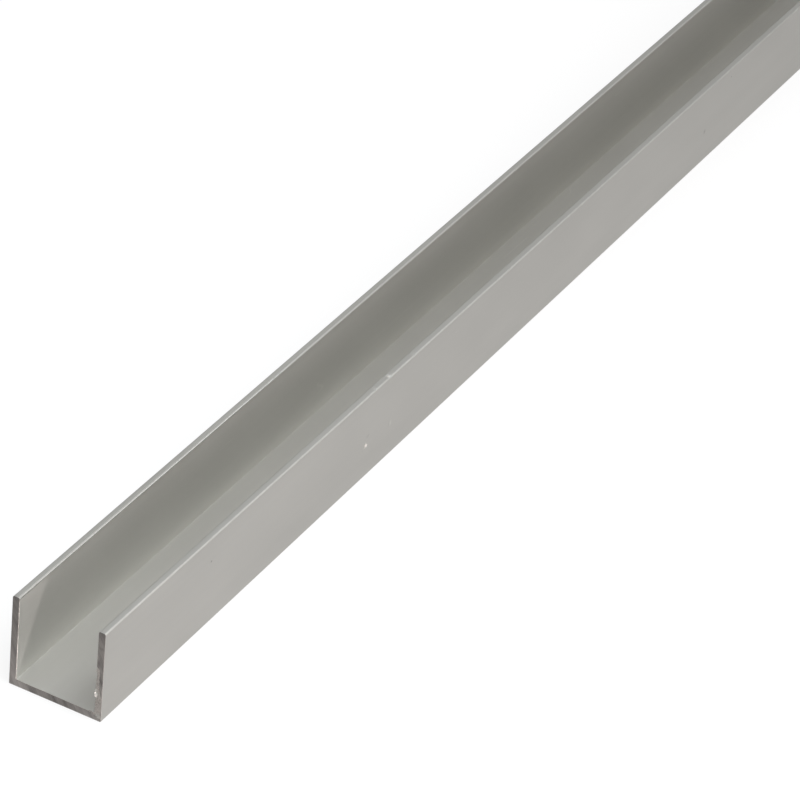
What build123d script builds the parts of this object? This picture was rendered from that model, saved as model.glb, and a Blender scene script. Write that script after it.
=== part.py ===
from build123d import *
import os

# A straight bar of extruded aluminium channel: one piece, with a square U-shaped section.
# It lies as stock lies on a floor, on its web, with its open side up.
# +X runs along the bar, +Y across it and +Z up. The origin is the middle of the web's underside.

# Driving dimensions, in millimetres
length = 1000.0  # a stock length, sawn square at both ends
width = 20.0  # across the outer faces of the two flanges
height = 20.0  # from the web's underside to the flange tips
wall = 1.5  # the same for the web and both flanges

# Edge radii that the die leaves along the whole bar, in millimetres
heel_radius = 0.15  # the outer corner where the web turns into a flange, nearly sharp
root_radius = 0.15  # the fillet inside that corner, as small
tip_radius = 0.4  # the two edges of each flange tip


def channel_section():
    """The section across the bar: an open-topped U that stands on its web."""
    groove_width = width - 2 * wall
    with BuildSketch(Plane.YZ) as section:
        Rectangle(width, height, align=(Align.CENTER, Align.MIN))
        with Locations((0, wall)):
            Rectangle(
                groove_width,
                height - wall,
                align=(Align.CENTER, Align.MIN),
                mode=Mode.SUBTRACT,
            )
        heels = section.vertices().group_by(Axis.Y)[0]
        fillet(heels, heel_radius)
        roots = section.vertices().filter_by_position(Axis.Y, wall, wall)
        fillet(roots, root_radius)
        tips = section.vertices().group_by(Axis.Y)[-1]
        fillet(tips, tip_radius)
    return section.sketch


def channel_profile():
    """The section drawn out along the bar, equally to both sides of the origin."""
    return extrude(channel_section(), amount=length / 2, both=True)


os.makedirs("parts", exist_ok=True)
export_step(channel_profile(), "parts/channel_profile.step")
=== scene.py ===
# %% [markdown]
# An aluminium U channel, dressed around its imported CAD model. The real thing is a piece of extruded
# bar, taken as one metre of 20 mm square section with 1.5 mm walls. It was pushed through a steel
# die, anodised to a satin silver, and sawn to length afterwards. Blender adds what the saw, the die
# and the workshop left on it.

import math

import bmesh
import bpy
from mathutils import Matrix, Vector, noise


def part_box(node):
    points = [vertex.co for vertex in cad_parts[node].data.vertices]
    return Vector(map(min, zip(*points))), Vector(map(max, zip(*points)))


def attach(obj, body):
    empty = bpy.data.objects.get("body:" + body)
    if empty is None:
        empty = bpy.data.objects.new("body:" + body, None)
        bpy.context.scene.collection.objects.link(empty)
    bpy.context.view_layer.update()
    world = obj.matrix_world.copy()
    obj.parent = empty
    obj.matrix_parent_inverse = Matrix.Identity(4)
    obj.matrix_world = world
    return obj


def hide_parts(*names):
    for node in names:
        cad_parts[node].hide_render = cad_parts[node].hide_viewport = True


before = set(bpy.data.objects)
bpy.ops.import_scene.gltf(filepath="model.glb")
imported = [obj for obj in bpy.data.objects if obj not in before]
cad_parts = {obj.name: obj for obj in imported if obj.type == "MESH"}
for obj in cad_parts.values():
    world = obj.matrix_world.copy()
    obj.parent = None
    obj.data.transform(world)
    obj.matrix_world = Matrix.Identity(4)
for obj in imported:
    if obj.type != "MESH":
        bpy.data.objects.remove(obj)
bpy.ops.object.select_all(action="DESELECT")
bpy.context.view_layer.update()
low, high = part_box("channel_profile")
print("bar", [round(side, 4) for side in high - low], "m")

# %% [markdown]
# Lengths below are easier to read in millimetres, as a machinist would call them out, so one
# named value turns them into metres. Walls and edge radii repeat the section's real ones. Tiny is
# too small a number to matter, a thousandth of a millimetre where it is a length, and it keeps
# rounding from deciding which parts get picked.

# %% Name the sizes of the section
MM = 0.001
TINY = 1e-6
WALL = 1.5 * MM
CORNER_RADIUS = 0.15 * MM
TIP_RADIUS = 0.4 * MM
ARC_STEPS = 5
NEAR_END = low.x
FAR_END = high.x
MIDDLE_HEIGHT = (low.z + high.z) / 2

# %% [markdown]
# Modelling by hand in Blender means picking faces, edges or corners and then working on them.
# A script picks them by where they are and which way they face. These helpers do that in edit
# mode, and the test that each is given reads like a sentence.

# %% Pick parts of a mesh by their place
def edit_mesh():
    """The mesh that is open in edit mode."""
    return bmesh.from_edit_mesh(bpy.context.edit_object.data)


def pick(kind, wanted):
    """Select only the wanted faces, edges or verts, and return how many there are."""
    bpy.ops.mesh.select_all(action="DESELECT")
    bpy.ops.mesh.select_mode(type={"faces": "FACE", "edges": "EDGE", "verts": "VERT"}[kind])
    shape = edit_mesh()
    count = 0
    for item in getattr(shape, kind):
        if not item.hide and wanted(item):
            item.select_set(True)
            count += 1
    shape.select_flush_mode()
    bmesh.update_edit_mesh(bpy.context.edit_object.data)
    return count


def middle(item):
    """The middle of a face, an edge or a vertex."""
    if hasattr(item, "calc_center_median"):
        return item.calc_center_median()
    if hasattr(item, "co"):
        return item.co
    return (item.verts[0].co + item.verts[1].co) / 2


def cut_through(axis, places):
    """Cut what is shown of the mesh with a flat plane at each place along an axis."""
    normal = Vector([float(axis == name) for name in "xyz"])
    for place in places:
        bpy.ops.mesh.select_all(action="SELECT")
        bpy.ops.mesh.bisect(plane_co=normal * place, plane_no=normal)


def steps(start, stop, size):
    """Evenly spaced places between two ends, without the ends, no further apart than size."""
    count = max(1, math.ceil(abs(stop - start) / size - TINY))
    return [start + (stop - start) * i / count for i in range(1, count)]


# %% [markdown]
# The section comes first, as it does in the die. A square stands across the bar at its sawn end,
# three cuts mark out the walls, and the middle is thrown away. What is left is dissolved into one
# U-shaped face, and vertex bevels round its eight corners: the flange tips softly, and the heels
# and roots where the flanges meet the web to nearly sharp ones.

# %% Draw the section
bpy.ops.mesh.primitive_plane_add(
    size=high.z - low.z,
    location=(NEAR_END, 0, MIDDLE_HEIGHT),
    rotation=(0, -math.pi / 2, 0),
)
bar = bpy.context.object
bar.name = bar.data.name = "channel_bar"
bpy.ops.object.transform_apply(location=True, rotation=True, scale=True)
bpy.ops.object.mode_set(mode="EDIT")
cut_through("y", [low.y + WALL, high.y - WALL])
cut_through("z", [low.z + WALL])
pick("faces", lambda f: abs(middle(f).y) < high.y - WALL and middle(f).z > low.z + WALL)
bpy.ops.mesh.delete(type="FACE")
bpy.ops.mesh.select_all(action="SELECT")
bpy.ops.mesh.dissolve_limited(angle_limit=math.radians(1))
for radius, at_tips in ((CORNER_RADIUS, False), (TIP_RADIUS, True)):
    corners = pick("verts", lambda v: (v.co.z > MIDDLE_HEIGHT) == at_tips)
    bpy.ops.mesh.bevel(offset=radius, segments=ARC_STEPS, affect="VERTICES", clamp_overlap=False)
    print("section:", corners, "corners rounded to", round(radius / MM, 2), "mm")

# %% [markdown]
# One extrude draws the section out to a metre. A short first run makes an end zone, which takes
# all the saw's marks, so that the rest of the bar can stay a few long clean faces.

# %% Draw the bar out of the section
END_ZONE = 2.4 * MM
pick("faces", lambda f: True)
for run in (END_ZONE, FAR_END - NEAR_END - 2 * END_ZONE, END_ZONE):
    bpy.ops.mesh.extrude_region_move(TRANSFORM_OT_translate={"value": (run, 0, 0)})
bpy.ops.mesh.select_all(action="SELECT")
bpy.ops.mesh.normals_make_consistent(inside=False)
print("bar:", len(edit_mesh().faces), "faces")

# %% [markdown]
# A saw never leaves a razor edge: it rolls the metal over a little. So the edges round both cut
# faces get a very small bevel before anything else happens to them.

# %% Break the sawn edges
SAWN_EDGE = 0.06 * MM


def on_an_end(item):
    """True where a part of the mesh lies in one of the two cut faces."""
    return abs(abs(middle(item).x) - FAR_END) < TINY


pick("edges", on_an_end)
bpy.ops.mesh.bevel(offset=SAWN_EDGE, segments=2, affect="EDGES", clamp_overlap=False)
print("sawn edges broken:", len(edit_mesh().faces), "faces")

# %% [markdown]
# Relief needs vertices to move. Bisecting with a row of planes is a tidy way to get them only
# where they are wanted: everything outside the end zone is hidden, and each plane cuts what shows.
# The near end gets a fine grid because the photograph looks straight at it, with rows that close
# up towards the cut, where the relief is. The depths of the rows are in millimetres. A bisect takes
# whatever lies within 0.1 mm of its plane as already cut, so no row may be closer to another.

# %% Cut a fine grid into the ends
def show_only(wanted):
    """Hide every face but the wanted ones, so that the next cuts leave the others whole."""
    bpy.ops.mesh.reveal(select=False)
    pick("faces", wanted)
    bpy.ops.mesh.hide(unselected=True)


FINE = 0.125 * MM
COARSE = 0.5 * MM
NEAR_DEPTHS = (0.12, 0.24, 0.4, 0.65, 1.1, 1.7)
FAR_DEPTHS = (0.4, 1.1)
INNER = high.y - WALL
FLOOR = low.z + WALL
for end, cell, depths in ((NEAR_END, FINE, NEAR_DEPTHS), (FAR_END, COARSE, FAR_DEPTHS)):
    show_only(lambda f: abs(middle(f).x - end) < END_ZONE)
    inwards = math.copysign(1, -end)
    cut_through("x", [end + inwards * (SAWN_EDGE + depth * MM) for depth in depths])
    cut_through("z", steps(low.z, FLOOR, cell) + [FLOOR] + steps(FLOOR, high.z, cell))
    for side in (-1, 1):
        cut_through("y", [side * place for place in steps(INNER, high.y, cell) + [INNER]])
    cut_through("y", steps(-INNER, INNER, cell))
bpy.ops.mesh.reveal(select=False)
print("ends cut:", len(edit_mesh().faces), "faces")

# %% [markdown]
# About a hand's width from the near end, the front flange has been knocked. There is a chip in its
# outer face, and there are three dings with a fine scratch on its tip. These two patches get their
# own small cells, so that the marks can be real dents rather than paint. The finest cuts here are
# asked for every 0.1 mm, which is the bisect's own limit, so it leaves some of them out and the
# chip's cells are 0.1 to 0.3 mm wide. Rounding decides two of the cuts, so a run may or may not
# make them: both lie on the flat metal beside the chip, and the shape is the same either way.

# %% Cut cells for the knocked stretch
CHIP_PLACE = Vector((NEAR_END + 97.15 * MM, low.y, 7.9 * MM))
CHIP_PATCH = 1.2 * MM
TIP_MARKS = (NEAR_END + 95 * MM, NEAR_END + 119 * MM)
CELL = 0.2 * MM
LONG_FACE_AREA = 1000 * MM * MM


def in_the_long_run(item):
    """True between the two end zones."""
    return abs(middle(item).x) < FAR_END - END_ZONE


show_only(lambda f: in_the_long_run(f) and middle(f).y < low.y + 0.5 * FINE)
borders = [[CHIP_PLACE[axis] - CHIP_PATCH, CHIP_PLACE[axis] + CHIP_PATCH] for axis in (0, 2)]
cut_through("x", borders[0])
cut_through("z", borders[1])
show_only(lambda f: middle(f).y < low.y + TINY and (middle(f) - CHIP_PLACE).length < CHIP_PATCH)
cut_through("x", steps(*borders[0], CELL / 2))
cut_through("z", steps(*borders[1], CELL / 2))

show_only(
    lambda f: in_the_long_run(f)
    and middle(f).y < -INNER - TINY
    and middle(f).x > NEAR_END + END_ZONE + TINY
    and (middle(f).z > high.z - TIP_RADIUS or f.calc_area() > LONG_FACE_AREA)
)
cut_through("x", TIP_MARKS)
show_only(
    lambda f: TIP_MARKS[0] < middle(f).x < TIP_MARKS[1]
    and middle(f).y < -INNER - TINY
    and middle(f).z > high.z - TIP_RADIUS
)
cut_through("x", steps(*TIP_MARKS, CELL))
cut_through("y", [-place for place in steps(INNER, high.y, CELL / 2)])
bpy.ops.mesh.reveal(select=False)
bpy.ops.object.mode_set(mode="OBJECT")
print("cells for the marks:", len(bar.data.polygons), "faces")

# %% [markdown]
# The marks on the bar are described before they are pressed in, each as a function that says how
# strong the mark is at a place. The front flange's cut face is torn along its inner side from about
# three fifths of the way up, and by the bottom corner over its whole width. One small flake of it
# stands up bright. The outer face has one small chip, and the tip above it has three bruises: each
# is given by how far along the bar it is, how wide and how strong.

# %% Describe the tear, its flake, the chip and the dings
FRONT_INNER = -INNER
TEAR_TOP = 12.3 * MM
TEAR_FULL = 3.9 * MM
TEAR_INWARDS = -7.3 * MM
TEAR_SPREADS = 3.8 * MM
NIBBLED_WIDTH = 0.7 * MM
REST_OF_WALL = 0.9 * MM
TEAR_BORDER = 0.1 * MM
FLAKE_PLACE = Vector((NEAR_END, -8.74 * MM, 5.5 * MM))
FLAKE_HALF_WIDTH = 0.36 * MM
FLAKE_ABOVE = 2.2 * MM
FLAKE_BELOW = 0.9 * MM
CHIP_HALF_WIDTH = 0.6 * MM
CHIP_HEIGHT = 1.65 * MM
CHIP_DEEPEST = 0.35
CHIP_SIDE = 0.2 * MM
DINGS = ((99.5 * MM, 0.3 * MM, 0.5), (105.3 * MM, 0.5 * MM, 1), (115.5 * MM, 0.4 * MM, 0.35))
DING_DEEPEST = 0.3 * MM
DING_REACH = 1.1 * MM


def fade(value, start, stop):
    """0 before start, 1 after stop, and a smooth ramp in between."""
    t = min(1, max(0, (value - start) / (stop - start)))
    return t * t * (3 - 2 * t)


def bell(value, width):
    """1 in the middle of a mark, fading out evenly to both sides."""
    return math.exp(-((value / width) ** 2))


def ragged(value, grain, seed):
    """A smooth wander between about -1 and 1, the same on every run."""
    return noise.noise(Vector((value / grain, seed, 0)))


def tear_width(height):
    """How much of the front flange's wall is torn at a height: none above, all of it below."""
    beside_the_edge = NIBBLED_WIDTH * fade(height, TEAR_TOP, TEAR_TOP - 0.9 * MM)
    rest_of_the_wall = REST_OF_WALL * fade(height, TEAR_FULL + TEAR_SPREADS, TEAR_FULL)
    jagged = 0.16 * ragged(height, 0.9 * MM, 3.7) + 0.1 * ragged(height, 0.35 * MM, 8.1)
    return beside_the_edge * (1 + jagged) + rest_of_the_wall


def torn(co):
    """1 in the torn part of the near cut face."""
    if co.y > TEAR_INWARDS or co.z > TEAR_TOP:
        return 0
    if co.z > FLOOR:
        return fade(FRONT_INNER - co.y - tear_width(co.z), TEAR_BORDER, -TEAR_BORDER)
    towards_corner = (TEAR_INWARDS - co.y) / (TEAR_INWARDS - low.y)
    still_sawn = FLOOR - towards_corner * 1.2 * MM + 0.25 * MM * ragged(co.y, 0.5 * MM, 5.3)
    return fade(co.z - still_sawn, -TEAR_BORDER, TEAR_BORDER)


def flake(co):
    """1 on the flake of metal at the tear's inner edge, a drop with its point up."""
    off = co - FLAKE_PLACE
    away = abs(off.y) / FLAKE_HALF_WIDTH + max(off.z / FLAKE_ABOVE, -off.z / FLAKE_BELOW)
    return fade(away, 1, 0.75)


def chip(co):
    """A bite out of the outer face: a triangle that stands on its base, deepest low down."""
    if co.y > low.y + TINY:
        return 0
    off = co - CHIP_PLACE
    up = off.z / CHIP_HEIGHT + 0.5
    inside = 1 + (CHIP_HALF_WIDTH * (1 - up) - abs(off.x)) / CHIP_SIDE
    return min(1, max(0, inside)) * max(0, min(up / CHIP_DEEPEST, (1 - up) / (1 - CHIP_DEEPEST)))


def ding(co):
    """The bruises on the front flange's tip, deepest a little inside its outer edge."""
    if not TIP_MARKS[0] < co.x < TIP_MARKS[1] or co.z < high.z - TIP_RADIUS - TINY:
        return 0
    inside = co.y - low.y
    across = max(0, min(inside / DING_DEEPEST, (DING_REACH - inside) / (DING_REACH - DING_DEEPEST)))
    return across * max(size * bell(co.x - NEAR_END - place, width) for place, width, size in DINGS)


# %% [markdown]
# Four finishes cover the bar: the anodised skin, the sawn cut faces, the torn metal, which also
# lines the inner edges that the saw rolled over, and bright metal where something broke or rubbed
# the skin off. They are mixed further down, but each face is told now which one it gets, while
# the cut faces are still flat and easy to find.

# %% Name the finishes and share them out
FINISH_NAMES = ("anodised_skin", "sawn_face", "torn_metal", "bright_metal")
ANODISED, SAWN, TORN, BRIGHT = range(len(FINISH_NAMES))
FINISHES = [bpy.data.materials.new(name) for name in FINISH_NAMES]
for material in FINISHES:
    bar.data.materials.append(material)


def finish_of(face):
    """Which finish a face of the bar has, by its place."""
    place = face.center
    end_distance = FAR_END - abs(place.x)
    if end_distance > SAWN_EDGE:
        return BRIGHT if chip(place) > 0.15 or ding(place) > 0.4 else ANODISED
    if place.x < 0 and torn(place) > 0.5 and place.y > low.y + SAWN_EDGE:
        return BRIGHT if flake(place) > 0.3 else TORN
    in_the_channel = abs(place.y) < INNER + SAWN_EDGE and place.z > FLOOR - SAWN_EDGE
    return TORN if end_distance > TINY and in_the_channel else SAWN


tally = [0] * len(FINISHES)
for face in bar.data.polygons:
    face.material_index = finish_of(face)
    tally[face.material_index] += 1
print("faces by finish:", dict(zip(FINISH_NAMES, tally)))

# %% [markdown]
# Dents are pressed in with the Displace modifier. A vertex group says how hard each vertex is
# pressed, as a brush would paint it, and a cloud texture makes the pressure uneven. An empty
# carries the texture's scale and direction: stretched, it turns blotches into saw streaks.

# %% Press marks into the metal
FAINTEST = 0.004


def paint(name, strength):
    """A vertex group on the bar with the given strength at each place, and none where it is 0."""
    group = bar.vertex_groups.new(name=name)
    painted = 0
    for vertex in bar.data.vertices:
        weight = strength(vertex.co)
        if weight > FAINTEST:
            group.add([vertex.index], min(1, weight), "REPLACE")
            painted += 1
    print("painted", name, "on", painted, "vertices")
    return name


def press(group, axis, depth, grain=None, turn=0, level=0):
    """Move the painted vertices along an axis, evenly or by a cloud of the given grain."""
    bpy.context.view_layer.objects.active = bar
    push = bar.modifiers.new(group, "DISPLACE")
    push.direction = axis
    push.space = "LOCAL"
    push.vertex_group = group
    push.strength = depth
    push.mid_level = level
    helper = None
    if grain:
        helper = bpy.data.objects.new(group, None)
        bpy.context.scene.collection.objects.link(helper)
        helper.rotation_euler = (turn, 0, 0)
        helper.scale = grain
        cloud = bpy.data.textures.new(group, "CLOUDS")
        cloud.noise_scale = 1
        cloud.noise_depth = 1
        push.texture = cloud
        push.texture_coords = "OBJECT"
        push.texture_coords_object = helper
        bpy.context.view_layer.update()
    bpy.ops.object.modifier_apply(modifier=push.name)
    if helper:
        bpy.data.objects.remove(helper)
    bar.vertex_groups.remove(bar.vertex_groups[group])


# %% [markdown]
# A hacksaw or a chop saw drags shallow grooves across the cut, all leaning the same way. They are
# only a few hundredths of a millimetre deep, but light on a grazing metal face shows them well.

# %% Saw grooves on both cut faces
SAW_LEAN = math.radians(62)
GROOVE_GRAIN = (1 * MM, 2.4 * MM, 0.22 * MM)
GROOVE_DEPTH = 0.05 * MM
for end in (NEAR_END, FAR_END):
    inwards = math.copysign(1, -end)
    name = paint("saw_grooves", lambda co: fade(abs(co.x - end), SAWN_EDGE, SAWN_EDGE / 2))
    press(name, "X", inwards * GROOVE_DEPTH, GROOVE_GRAIN, SAW_LEAN)

# %% [markdown]
# Where the blade broke out of the front flange, it tore the metal instead of cutting it. The tear
# starts as a nibbled inner edge about three fifths of the way up, and by the bottom corner it has
# taken the whole wall. Some of the torn metal leans over into the channel as a burr.

# %% The tear and its burr
TEAR_DEPTH = 0.9 * MM
TEAR_FADE = 1 * MM
FLAKE_HINGE = 0.7 * MM


def depth_into(co):
    """How far a vertex lies from the near cut face."""
    return co.x - NEAR_END


def sunk(co):
    """The torn metal, fading out behind the cut face. The flake and the outer edge are left."""
    inside = fade(co.y, low.y, low.y + 0.25 * MM)
    return torn(co) * fade(depth_into(co), TEAR_DEPTH, 0) * (1 - flake(co)) * inside


def nibbled(co):
    """The inner edge of the tear, where the metal is bitten away most."""
    if not TEAR_FULL < co.z < TEAR_TOP:
        return 0
    beside = fade(FRONT_INNER - co.y, 0.55 * MM, 0)
    return sunk(co) * beside * fade(co.z, TEAR_TOP, TEAR_TOP - TEAR_FADE)


def leaning(co):
    """The flake, which leans back towards the outer face."""
    outwards = min(1, max(0, (FRONT_INNER - co.y) / FLAKE_HINGE))
    return flake(co) * torn(co) * outwards * fade(depth_into(co), TEAR_DEPTH, 0)


def standing_out(co):
    """The same flake near the cut face, where it also stands a little towards the channel."""
    return flake(co) * fade(depth_into(co), 0.5 * MM, 0)


def bent_over(co):
    """The lip of the same edge that leans into the channel."""
    if co.y > FRONT_INNER + TINY or not TEAR_FULL < co.z < TEAR_TOP:
        return 0
    beside = fade(FRONT_INNER - co.y, 0.5 * MM, 0)
    lower_end = fade(co.z, TEAR_FULL, TEAR_FULL + TEAR_FADE)
    upper_end = fade(co.z, TEAR_TOP, TEAR_TOP - TEAR_FADE)
    return beside * (lower_end * upper_end) * fade(depth_into(co), 0.6 * MM, 0.12 * MM)


press(paint("sunk", sunk), "X", 0.3 * MM, (1 * MM, 0.9 * MM, 0.9 * MM), level=0.1)
press(paint("nibbled", nibbled), "X", 0.6 * MM, (1 * MM, 0.5 * MM, 0.9 * MM), level=0.3)
press(paint("leaning", leaning), "X", 0.45 * MM)
press(paint("standing_out", standing_out), "Y", 0.2 * MM)
press(paint("bent_over", bent_over), "Y", 0.7 * MM, (1 * MM, 1 * MM, 0.6 * MM), level=0.38)

# %% [markdown]
# The chip is a small three-cornered bite with its lower side turned up to the light. The dings are
# pressed into the tip just inside its outer edge, and the scratch beside them is a groove as fine
# as a hair.

# %% The chip, the dings and the scratch
CHIP_DEPTH = 0.34 * MM
DING_DEPTH = 0.38 * MM
SCRATCH_DEPTH = 0.05 * MM
SCRATCH_Y = low.y + 0.9 * MM
SCRATCH_WIDTH = 0.09 * MM


def scratch(co):
    """A hairline along the tip, a little inside its middle, that starts and ends softly."""
    start, stop = TIP_MARKS
    if not start < co.x < stop or co.z < high.z - TIP_RADIUS / 2:
        return 0
    along = fade(co.x, start, start + 4 * MM) * fade(co.x, stop, stop - 5 * MM)
    return along * bell(co.y - SCRATCH_Y, SCRATCH_WIDTH)


press(paint("chip", chip), "Y", CHIP_DEPTH)
press(paint("dings", ding), "Z", -DING_DEPTH)
press(paint("scratch", scratch), "Z", -SCRATCH_DEPTH)

# %% [markdown]
# Shading comes last. Edges over 35 degrees stay crisp, and the Weighted Normal modifier makes
# the rounded edges take their shading from the big flat faces beside them, so that the long sides
# mirror the room as flat as they are.

# %% Shade the bar
bpy.ops.object.select_all(action="DESELECT")
bar.select_set(True)
bpy.context.view_layer.objects.active = bar
bpy.ops.object.shade_smooth_by_angle(angle=math.radians(35))
weighted = bar.modifiers.new("flat_sides", "WEIGHTED_NORMAL")
weighted.keep_sharp = True
weighted.weight = 80
bpy.ops.object.modifier_apply(modifier=weighted.name)
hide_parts("channel_profile")
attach(bar, "root")
print("bar:", len(bar.data.polygons), "faces")

# %% [markdown]
# Materials are built from nodes. Two small helpers keep that readable: one adds a node and fills
# its sockets, with plain values or with the output of another node, and one does a sum.

# %% Helpers for nodes
def add(tree, kind, sockets=None, **settings):
    """A new node in the tree, with its settings and its sockets filled in."""
    made = tree.nodes.new(kind)
    for name, value in settings.items():
        setattr(made, name, value)
    for name, value in (sockets or {}).items():
        if isinstance(value, bpy.types.NodeSocket):
            tree.links.new(value, made.inputs[name])
        else:
            made.inputs[name].default_value = value
    return made


def sum_up(tree, operation, first, second=0.0, third=0.0):
    """One step of arithmetic on values that change over the surface."""
    sockets = {0: first, 1: second, 2: third}
    return add(tree, "ShaderNodeMath", sockets, operation=operation).outputs[0]


def effect(name, inputs, output):
    """An empty node group with named inputs and one named output, and its two end nodes."""
    group = bpy.data.node_groups.new(name, "ShaderNodeTree")
    for label, kind, value in inputs:
        socket = group.interface.new_socket(name=label, in_out="INPUT", socket_type=kind)
        if value is not None:
            socket.default_value = value
    group.interface.new_socket(name=output, in_out="OUTPUT", socket_type="NodeSocketFloat")
    return group, add(group, "NodeGroupInput").outputs, add(group, "NodeGroupOutput").inputs


def use(tree, group, **sockets):
    """The output of an effect, placed in a material with its own values."""
    named = {label.replace("_", " "): value for label, value in sockets.items()}
    return add(tree, "ShaderNodeGroup", named, node_tree=group).outputs[0]


# %% [markdown]
# Five effects come back more than once, so each is a node group with its own sliders. Grain is a
# cloud that can be drawn out along one direction: it makes die lines, saw streaks and soft
# blotches alike. Hairlines follows the contour lines of such a cloud to get thin scratches.
# Specks scatters pits, and spot is one soft mark at a given place. Near corner finds the strip
# beside one long edge of the bar, with an uneven border.

# %% Effects that the finishes share
FLOAT, VECTOR = "NodeSocketFloat", "NodeSocketVector"

grain, given, result = effect(
    "grain",
    [("Place", VECTOR, None), ("Size", VECTOR, (1, 1, 1)), ("Contrast", FLOAT, 1.0)],
    "Grain",
)
stretched = add(grain, "ShaderNodeVectorMath", {0: given["Place"], 1: given["Size"]}, operation="DIVIDE")
cloud = add(grain, "ShaderNodeTexNoise", {"Vector": stretched.outputs[0], "Scale": 1.0, "Detail": 3.0})
centred = sum_up(grain, "SUBTRACT", cloud.outputs[0], 0.5)
grain.links.new(sum_up(grain, "MULTIPLY_ADD", centred, given["Contrast"], 0.5), result["Grain"])

hairlines, given, result = effect(
    "hairlines",
    [("Place", VECTOR, None), ("Size", VECTOR, (1, 1, 1)), ("Thickness", FLOAT, 0.01)],
    "Hairline",
)
stretched = add(hairlines, "ShaderNodeVectorMath", {0: given["Place"], 1: given["Size"]}, operation="DIVIDE")
cloud = add(hairlines, "ShaderNodeTexNoise", {"Vector": stretched.outputs[0], "Scale": 1.0, "Detail": 0.0})
contour = sum_up(hairlines, "COMPARE", cloud.outputs[0], 0.5, given["Thickness"])
broken_up = add(hairlines, "ShaderNodeTexNoise", {"Vector": given["Place"], "Scale": 0.11, "Detail": 1.0})
stretch_of_it = sum_up(hairlines, "GREATER_THAN", broken_up.outputs[0], 0.56)
hairlines.links.new(sum_up(hairlines, "MULTIPLY", contour, stretch_of_it), result["Hairline"])

specks, given, result = effect(
    "specks",
    [("Place", VECTOR, None), ("Spacing", FLOAT, 5.0), ("Size", FLOAT, 0.1)],
    "Speck",
)
one_over = sum_up(specks, "DIVIDE", 1.0, given["Spacing"])
cells = add(specks, "ShaderNodeTexVoronoi", {"Vector": given["Place"], "Scale": one_over})
away = sum_up(specks, "MULTIPLY", cells.outputs["Distance"], given["Spacing"])
chance = add(specks, "ShaderNodeSeparateColor", {0: cells.outputs["Color"]}).outputs[0]
radius = sum_up(specks, "MULTIPLY", given["Size"], sum_up(specks, "POWER", chance, 3.0))
specks.links.new(sum_up(specks, "LESS_THAN", away, radius), result["Speck"])

near_corner, given, result = effect(
    "near_corner",
    [("Place", VECTOR, None), ("Corner", VECTOR, (0, 0, 0)), ("Reach", FLOAT, 0.5)],
    "Closeness",
)
flat = {0: given["Place"], 1: (0.0, 1.0, 1.0)}
flat = add(near_corner, "ShaderNodeVectorMath", flat, operation="MULTIPLY").outputs[0]
distance = {0: flat, 1: given["Corner"]}
distance = add(near_corner, "ShaderNodeVectorMath", distance, operation="DISTANCE").outputs["Value"]
uneven = {"Vector": given["Place"], "Scale": 0.6, "Detail": 3.0}
uneven = add(near_corner, "ShaderNodeTexNoise", uneven).outputs[0]
reach_here = sum_up(near_corner, "MULTIPLY", given["Reach"], sum_up(near_corner, "ADD", uneven, 0.5))
share = sum_up(near_corner, "DIVIDE", distance, reach_here)
closeness = sum_up(near_corner, "MAXIMUM", sum_up(near_corner, "SUBTRACT", 1.0, share), 0.0)
near_corner.links.new(closeness, result["Closeness"])

spot, given, result = effect(
    "spot",
    [("Place", VECTOR, None), ("Centre", VECTOR, (0, 0, 0)), ("Size", VECTOR, (1, 1, 1))],
    "Spot",
)
away = {0: given["Place"], 1: given["Centre"]}
away = add(spot, "ShaderNodeVectorMath", away, operation="SUBTRACT").outputs[0]
away = add(spot, "ShaderNodeVectorMath", {0: away, 1: given["Size"]}, operation="DIVIDE").outputs[0]
away = add(spot, "ShaderNodeVectorMath", {0: away}, operation="LENGTH").outputs["Value"]
inside = sum_up(spot, "MAXIMUM", sum_up(spot, "SUBTRACT", 1.0, away), 0.0)
spot.links.new(inside, result["Spot"])
print("effects:", [group.name for group in bpy.data.node_groups])

# %% [markdown]
# Each of the four finishes starts from the place on the bar in millimetres, so that a size in a
# material means the same as a size in the workshop. Metal has no colour of its own under the
# shine: the Metallic value is 1, and the base colour tints what it reflects. Small marks whose
# places are known are dabbed onto the colour by a helper of their own.

# %% Start and finish of a metal
def start_metal(material):
    """The finish's node tree, its shader, and the place on the bar in millimetres."""
    material.use_nodes = True
    tree = material.node_tree
    tree.nodes.clear()
    shader = add(tree, "ShaderNodeBsdfPrincipled", {"Metallic": 1.0})
    out = add(tree, "ShaderNodeOutputMaterial")
    tree.links.new(shader.outputs[0], out.inputs[0])
    there = add(tree, "ShaderNodeTexCoord").outputs["Object"]
    sockets = {"Vector": there, "Scale": (1 / MM,) * 3}
    return tree, shader, add(tree, "ShaderNodeMapping", sockets).outputs[0]


def tint(tree, mask, first, second):
    """A colour that goes from the first to the second as the mask rises."""
    mixer = add(tree, "ShaderNodeMix", {0: mask}, data_type="RGBA", clamp_factor=True)
    for socket, value in ((mixer.inputs[6], first), (mixer.inputs[7], second)):
        if isinstance(value, bpy.types.NodeSocket):
            tree.links.new(value, socket)
        else:
            socket.default_value = (*value, 1)
    return mixer.outputs[2]


def between(tree, mask, start, stop, first=0.0, last=1.0):
    """A value that goes from start to stop as the mask goes from first to last."""
    sockets = {"Value": mask, "From Min": first, "From Max": last, "To Min": start, "To Max": stop}
    return add(tree, "ShaderNodeMapRange", sockets).outputs[0]


def raise_up(tree, shader, height, distance):
    """Give the shader a fine relief with the height of a mask, in metres."""
    relief = add(tree, "ShaderNodeBump", {"Height": height, "Distance": distance, "Strength": 1.0})
    tree.links.new(relief.outputs[0], shader.inputs["Normal"])


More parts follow.
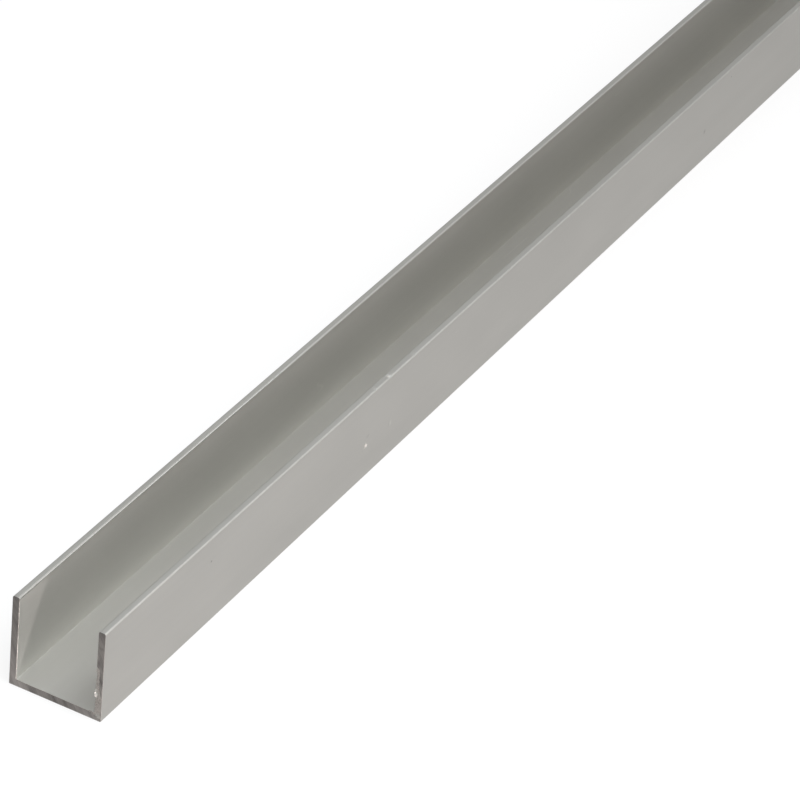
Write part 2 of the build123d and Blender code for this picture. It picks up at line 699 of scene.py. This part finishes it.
def add_marks(tree, place, colour, marks):
    """Dab soft marks on a colour: each has a centre and half sizes in mm, a look and a weight."""
    for centre, size, look, weight in marks:
        mark = use(tree, spot, Place=place, Centre=centre, Size=size)
        colour = tint(tree, sum_up(tree, "MULTIPLY", mark, weight), colour, look)
    return colour


# %% [markdown]
# Satin anodising is a hard clear skin over metal that was etched dull first. It mirrors the room
# only as a blur. Under the skin the die's fine lines still run along the whole bar, with broader
# faint bands, and the tone drifts a little from place to place. Hands and rags have rubbed the
# front edge of each tip glossier. Its colour there is also lightened as a painted highlight, which
# fades away from the near end. The tops of the tips near the end are painted darker as shade,
# against the extra light of the lamps close to that end. The inner faces just above the web are
# painted lighter, as light bounced up from the web. A few hairlines, pits and soft marks are left
# besides, and one soft dark patch on the web by the front flange, near the end, is a painted shadow.

# %% Satin anodised skin
SILVER_DARK = (0.68, 0.675, 0.642)
SILVER_LIGHT = (0.735, 0.728, 0.695)
# Bare metal, also the colour of the painted highlight on the rubbed tip edges and of the painted bounce
# light low on the inner faces.
BARE_METAL_AND_PAINTED_LIGHT = (0.905, 0.91, 0.86)
# Grime, also the colour of the painted shade on the tips near the end, on the web by the front flange and in
# a notch of the near cut face.
GRIME_AND_PAINTED_SHADE = (0.16, 0.15, 0.14)


def from_end(distance):
    """The place along the bar, in mm, that is so far from the near end."""
    return NEAR_END / MM + distance


def on_the_side(along, up):
    """A place on the front flange's outer face, in mm."""
    return (from_end(along), low.y / MM, up)


SOFT_MARKS = (
    (on_the_side(97.7, 9.9), (0.8, 0.5, 0.6), GRIME_AND_PAINTED_SHADE, 0.12),
    (on_the_side(106.7, 7.9), (0.6, 0.5, 0.9), GRIME_AND_PAINTED_SHADE, 0.08),
    (on_the_side(107.3, 7.9), (0.6, 0.5, 0.9), BARE_METAL_AND_PAINTED_LIGHT, 0.5),
    (on_the_side(256.6, 8.3), (0.7, 0.5, 0.8), GRIME_AND_PAINTED_SHADE, 0.3),
    (on_the_side(37.1, 14.5), (0.35, 0.5, 0.3), GRIME_AND_PAINTED_SHADE, 0.6),
    # Painted shadow: a soft dark patch on the web beside the front flange, near the end.
    ((from_end(2), -4.5, WALL / MM), (16, 6.5, 2), GRIME_AND_PAINTED_SHADE, 0.13),
)

tree, shader, place = start_metal(FINISHES[ANODISED])
die_lines = use(tree, grain, Place=place, Size=(300, 0.16, 0.16), Contrast=1.6)
bands = use(tree, grain, Place=place, Size=(500, 1.7, 1.7), Contrast=1.4)
drift = use(tree, grain, Place=place, Size=(26, 11, 11), Contrast=1.3)
scratches = use(tree, hairlines, Place=place, Size=(80, 2.2, 2.2), Thickness=0.003)
pits = use(tree, specks, Place=place, Spacing=7.0, Size=0.28)
front_edge = use(tree, near_corner, Place=place, Corner=(0, low.y / MM, high.z / MM), Reach=0.33)
back_edge = use(tree, near_corner, Place=place, Corner=(0, INNER / MM, high.z / MM), Reach=0.5)
along, across, up = add(tree, "ShaderNodeSeparateXYZ", {0: place}).outputs
front_fades = between(tree, along, 1.0, 0.5, from_end(100), from_end(220))
front_wear_and_highlight = sum_up(tree, "MULTIPLY", front_edge, front_fades)
back_fades = between(tree, along, 1.2, 0.2, from_end(70), from_end(190))
back_wear_and_highlight = sum_up(tree, "MULTIPLY", back_edge, back_fades)
wear_and_highlight = sum_up(tree, "MAXIMUM", front_wear_and_highlight, back_wear_and_highlight)
# Painted highlight: the two rubbed tip edges are lightened in colour as well as made glossier, less so away
# from the near end.
wear_and_painted_highlight = sum_up(tree, "MULTIPLY", wear_and_highlight, 1.5)
# Painted shade: the tops of the tips are darkened near the end, where the lamps close to it light them more.
on_the_tips = between(tree, up, 0.0, 1.0, 19.95, 20.0)
tip_shade_here = between(tree, along, 0.12, 0.03, from_end(30), from_end(90))
painted_tip_shade = sum_up(tree, "MULTIPLY", on_the_tips, tip_shade_here)
# Painted light: the inner faces just above the web are lightened, as light bounced up from the web.
inside = sum_up(tree, "COMPARE", sum_up(tree, "ABSOLUTE", across), INNER / MM, 0.08)
painted_bounce_light = sum_up(tree, "MULTIPLY", inside, between(tree, up, 0.2, 0.0, 1.6, 5.0))
tone = sum_up(tree, "MULTIPLY_ADD", bands, 0.35, sum_up(tree, "MULTIPLY", drift, 0.45))
tone = sum_up(tree, "MULTIPLY_ADD", die_lines, 0.2, tone)
colour = tint(tree, tone, SILVER_DARK, SILVER_LIGHT)
colour = tint(tree, painted_bounce_light, colour, BARE_METAL_AND_PAINTED_LIGHT)
colour = tint(tree, painted_tip_shade, colour, GRIME_AND_PAINTED_SHADE)
colour = tint(tree, wear_and_painted_highlight, colour, BARE_METAL_AND_PAINTED_LIGHT)
colour = tint(tree, sum_up(tree, "MULTIPLY", scratches, 0.15), colour, BARE_METAL_AND_PAINTED_LIGHT)
colour = tint(tree, sum_up(tree, "MULTIPLY", pits, 0.3), colour, GRIME_AND_PAINTED_SHADE)
colour = add_marks(tree, place, colour, SOFT_MARKS)
tree.links.new(colour, shader.inputs["Base Color"])
dullness = sum_up(tree, "MULTIPLY_ADD", drift, 0.6, sum_up(tree, "MULTIPLY", die_lines, 0.4))
gloss = between(tree, dullness, 0.55, 0.65)
gloss = sum_up(tree, "MULTIPLY_ADD", wear_and_highlight, -0.5, gloss)
tree.links.new(gloss, shader.inputs["Roughness"])
height = sum_up(tree, "MULTIPLY_ADD", scratches, -0.6, die_lines)
raise_up(tree, shader, sum_up(tree, "MULTIPLY_ADD", pits, -2.0, height), 0.004 * MM)

# %% [markdown]
# The cut faces have lost that skin. They are raw metal, scored by the blade, grey-brown and
# flecked with its dust, darker where the grooves sink and lighter on the ridges. The face is a
# little lighter low down towards the two corners where the flanges meet the web. Of the darker
# patches on it, the one in the notch at the top of the tear is a painted shadow.

# %% Raw sawn face
SAWN_DARK = (0.2, 0.183, 0.175)
SAWN_LIGHT = (0.66, 0.62, 0.59)
DARK_PATCHES = (
    # Painted shadow: the first patch darkens the notch at the top of the tear; the other two are darker
    # tone.
    ((NEAR_END / MM, -8.9, 13.0), (2.0, 0.6, 1.2), GRIME_AND_PAINTED_SHADE, 0.5),
    ((NEAR_END / MM, -9.2, 20.0), (2.0, 1.2, 2.4), GRIME_AND_PAINTED_SHADE, 0.35),
    ((NEAR_END / MM, -9.4, 16.4), (2.0, 1.0, 0.5), GRIME_AND_PAINTED_SHADE, 0.35),
)

tree, shader, place = start_metal(FINISHES[SAWN])
turned = {"Vector": place, "Rotation": (-SAW_LEAN, 0, 0)}
along_grooves = add(tree, "ShaderNodeMapping", turned).outputs[0]
grooves = use(tree, grain, Place=along_grooves, Size=(3, 4.5, 0.16), Contrast=2.2)
streaks = use(tree, grain, Place=along_grooves, Size=(3, 6, 1.3), Contrast=2.6)
dust = use(tree, specks, Place=place, Spacing=0.9, Size=0.16)
split = add(tree, "ShaderNodeSeparateXYZ", {0: place})
low_down = between(tree, split.outputs["Z"], 1.0, 0.0, 1.0, 9.0)
outwards = between(tree, sum_up(tree, "ABSOLUTE", split.outputs["Y"]), 0.0, 1.0, 2.0, 9.0)
lighter_near_corners = sum_up(tree, "MULTIPLY", low_down, outwards)
tone = sum_up(tree, "MULTIPLY_ADD", streaks, 0.45, sum_up(tree, "MULTIPLY", grooves, 0.35))
colour = tint(tree, sum_up(tree, "MULTIPLY_ADD", lighter_near_corners, 0.35, tone), SAWN_DARK, SAWN_LIGHT)
colour = tint(tree, sum_up(tree, "MULTIPLY", dust, 0.6), colour, GRIME_AND_PAINTED_SHADE)
colour = add_marks(tree, place, colour, DARK_PATCHES)
tree.links.new(colour, shader.inputs["Base Color"])
tree.links.new(between(tree, streaks, 0.42, 0.62), shader.inputs["Roughness"])
raise_up(tree, shader, grooves, 0.012 * MM)

# %% [markdown]
# Torn metal is crumpled and has dust in its folds, so it is a mottled mid-grey. Bright metal is
# the same aluminium where it was burnished or freshly broken: it is light and catches the lamps.

# %% Torn metal and bright metal
TORN_DARK = (0.54, 0.495, 0.455)
TORN_LIGHT = (0.82, 0.76, 0.71)
LIGHT_CORNER = ((NEAR_END / MM, -9.2, 1.0), (2.0, 1.0, 0.8), BARE_METAL_AND_PAINTED_LIGHT, 0.6)
BROKEN_METAL = (
    (TORN, TORN_DARK, TORN_LIGHT, 0.6, 0.25, 0.03),
    (BRIGHT, TORN_LIGHT, BARE_METAL_AND_PAINTED_LIGHT, 0.55, 0.4, 0.01),
)
for finish, darkest, lightest, dullest, glossiest, relief in BROKEN_METAL:
    tree, shader, place = start_metal(FINISHES[finish])
    facets = use(tree, grain, Place=place, Size=(0.5, 0.35, 0.35), Contrast=2.4)
    colour = add_marks(tree, place, tint(tree, facets, darkest, lightest), [LIGHT_CORNER])
    tree.links.new(colour, shader.inputs["Base Color"])
    tree.links.new(between(tree, facets, dullest, glossiest), shader.inputs["Roughness"])
    raise_up(tree, shader, facets, relief * MM)
    print("mixed", FINISHES[finish].name)

# %% [markdown]
# The studio is a pale floor under a white world. Through the Light Path node, the floor shows
# plain white to the camera and a softer white in reflections, and it keeps a share of matt white,
# which is what the bar's soft shadow falls on. It lets the lamps shine through, as the frosted top
# of a light table does, because one of them lights the bar from below.

# %% The floor and the white background
FLOOR_SIZE = 24.0
UNDER_THE_BAR = 0.02 * MM
SHADOW_SHARE = 0.25
BACKGROUND = 1.0
FLOOR_IN_METAL = 0.41

bpy.ops.mesh.primitive_plane_add(size=FLOOR_SIZE, location=(0, 0, low.z - UNDER_THE_BAR))
studio_floor = bpy.context.object
studio_floor.name = "studio_floor"
studio_floor.visible_shadow = False
floor_paint = bpy.data.materials.new("floor_paint")
floor_paint.use_nodes = True
tree = floor_paint.node_tree
tree.nodes.clear()
path = add(tree, "ShaderNodeLightPath").outputs
seen = sum_up(tree, "MAXIMUM", path["Is Camera Ray"], path["Is Transmission Ray"])
share = sum_up(tree, "MULTIPLY", seen, 1 - SHADOW_SHARE)
share = sum_up(tree, "MAXIMUM", share, path["Is Glossy Ray"])
white = between(tree, path["Is Glossy Ray"], BACKGROUND, FLOOR_IN_METAL)
glow = add(tree, "ShaderNodeEmission", {"Color": (1, 1, 1, 1), "Strength": white})
matt = add(tree, "ShaderNodeBsdfDiffuse", {"Color": (0.8, 0.8, 0.8, 1)})
mixed = add(tree, "ShaderNodeMixShader", {0: share, 1: matt.outputs[0], 2: glow.outputs[0]})
add(tree, "ShaderNodeOutputMaterial", {0: mixed.outputs[0]})
studio_floor.data.materials.append(floor_paint)

WORLD_IN_METAL = 0.29
world = bpy.data.worlds.new("white_room")
bpy.context.scene.world = world
world.use_nodes = True
tree = world.node_tree
tree.nodes.clear()
path = add(tree, "ShaderNodeLightPath").outputs
shown = between(tree, path["Is Glossy Ray"], BACKGROUND, WORLD_IN_METAL)
air = add(tree, "ShaderNodeBackground", {"Color": (1, 1, 1, 1), "Strength": shown})
add(tree, "ShaderNodeOutputWorld", {0: air.outputs[0]})

# %% [markdown]
# Soft lamps stand close to the near end, so the bar darkens a little as it runs away. A row of
# them comes from overhead and from the right, and two weaker ones from behind. One long strip lies
# where its light mirrors off the rounded tip edges into the camera and draws a bright line along
# them. A last small lamp shines up from below the near end: its light passes over the edge of the
# web and lights a clean triangle inside the back flange. Places and sizes are in metres.

# %% The lamps
def soft_lamp(name, place, aim, size, watts, colour):
    """A rectangular soft lamp at a place, turned to shine at a point."""
    data = bpy.data.lights.new(name, "AREA")
    data.shape = "RECTANGLE"
    data.size, data.size_y = size
    data.energy = watts
    data.color = colour
    lamp = bpy.data.objects.new(name, data)
    bpy.context.scene.collection.objects.link(lamp)
    lamp.location = place
    lamp.rotation_euler = (Vector(aim) - Vector(place)).to_track_quat("-Z", "Y").to_euler()
    lamp.visible_camera = False


NEAR_PART = Vector((NEAR_END + 80 * MM, 0, MIDDLE_HEIGHT))
NEAR_OPENING = Vector((NEAR_END + 5 * MM, INNER, 12 * MM))
MIRRORED = Vector((0.755, -0.547, 0.362)).normalized()
FROM_BELOW = Vector((-1, -1.6, -1.92)).normalized()
STRIP_DISTANCE = 0.5
BELOW_DISTANCE = 0.8

COOL = (0.95, 1.0, 1.03)
WARM = (1.045, 0.98, 0.975)
strip_place = NEAR_PART + MIRRORED * STRIP_DISTANCE
below_place = NEAR_OPENING + FROM_BELOW * BELOW_DISTANCE

soft_lamp("overhead", (-0.35, 0, 0.8), NEAR_PART, (0.8, 0.8), 0.79, COOL)
soft_lamp("above_the_end", (-0.52, -0.1, 0.25), NEAR_PART, (0.2, 0.2), 0.33, COOL)
soft_lamp("upper_right", (-0.43, -0.5, 0.5), NEAR_PART, (0.5, 0.5), 1.0, WARM)
soft_lamp("right_side", (-0.34, -0.7, 0.15), NEAR_PART, (0.6, 0.3), 0.88, WARM)
soft_lamp("far_right", (0.1, -0.4, 0.6), (-0.25, 0, 0), (0.5, 0.5), 0.28, WARM)
soft_lamp("upper_back", (0.15, 0.3, 0.7), (-0.3, 0, 0), (0.5, 0.5), 0.18, WARM)
soft_lamp("low_back", (0.35, 0.5, 0.25), (-0.3, 0, 0.02), (0.5, 0.25), 0.07, COOL)
soft_lamp("edge_strip", strip_place, NEAR_PART, (0.25, 0.1), 0.07, COOL)
soft_lamp("from_below", below_place, NEAR_OPENING, (0.06, 0.06), 3.1, WARM)

# %% [markdown]
# The camera looks down on the near end through a long lens, from about 70 cm away. Its place and
# its turn were worked out from six straight edges and two corners of the bar in the photograph.

# %% The camera
camera_data = bpy.data.cameras.new("camera")
camera = bpy.data.objects.new("camera", camera_data)
bpy.context.scene.collection.objects.link(camera)
camera_data.sensor_width = 36
camera_data.lens = 175.26
camera_data.clip_start = 0.01
camera.location = (-0.98305, -0.29487, 0.44169)
camera.rotation_euler = [math.radians(angle) for angle in (56.698, -5.2024, -60.9596)]
bpy.context.scene.camera = camera

# %% [markdown]
# The Standard view transform shows colours as they are, with no film look.

# %% Colour handling
bpy.context.scene.view_settings.view_transform = "Standard"
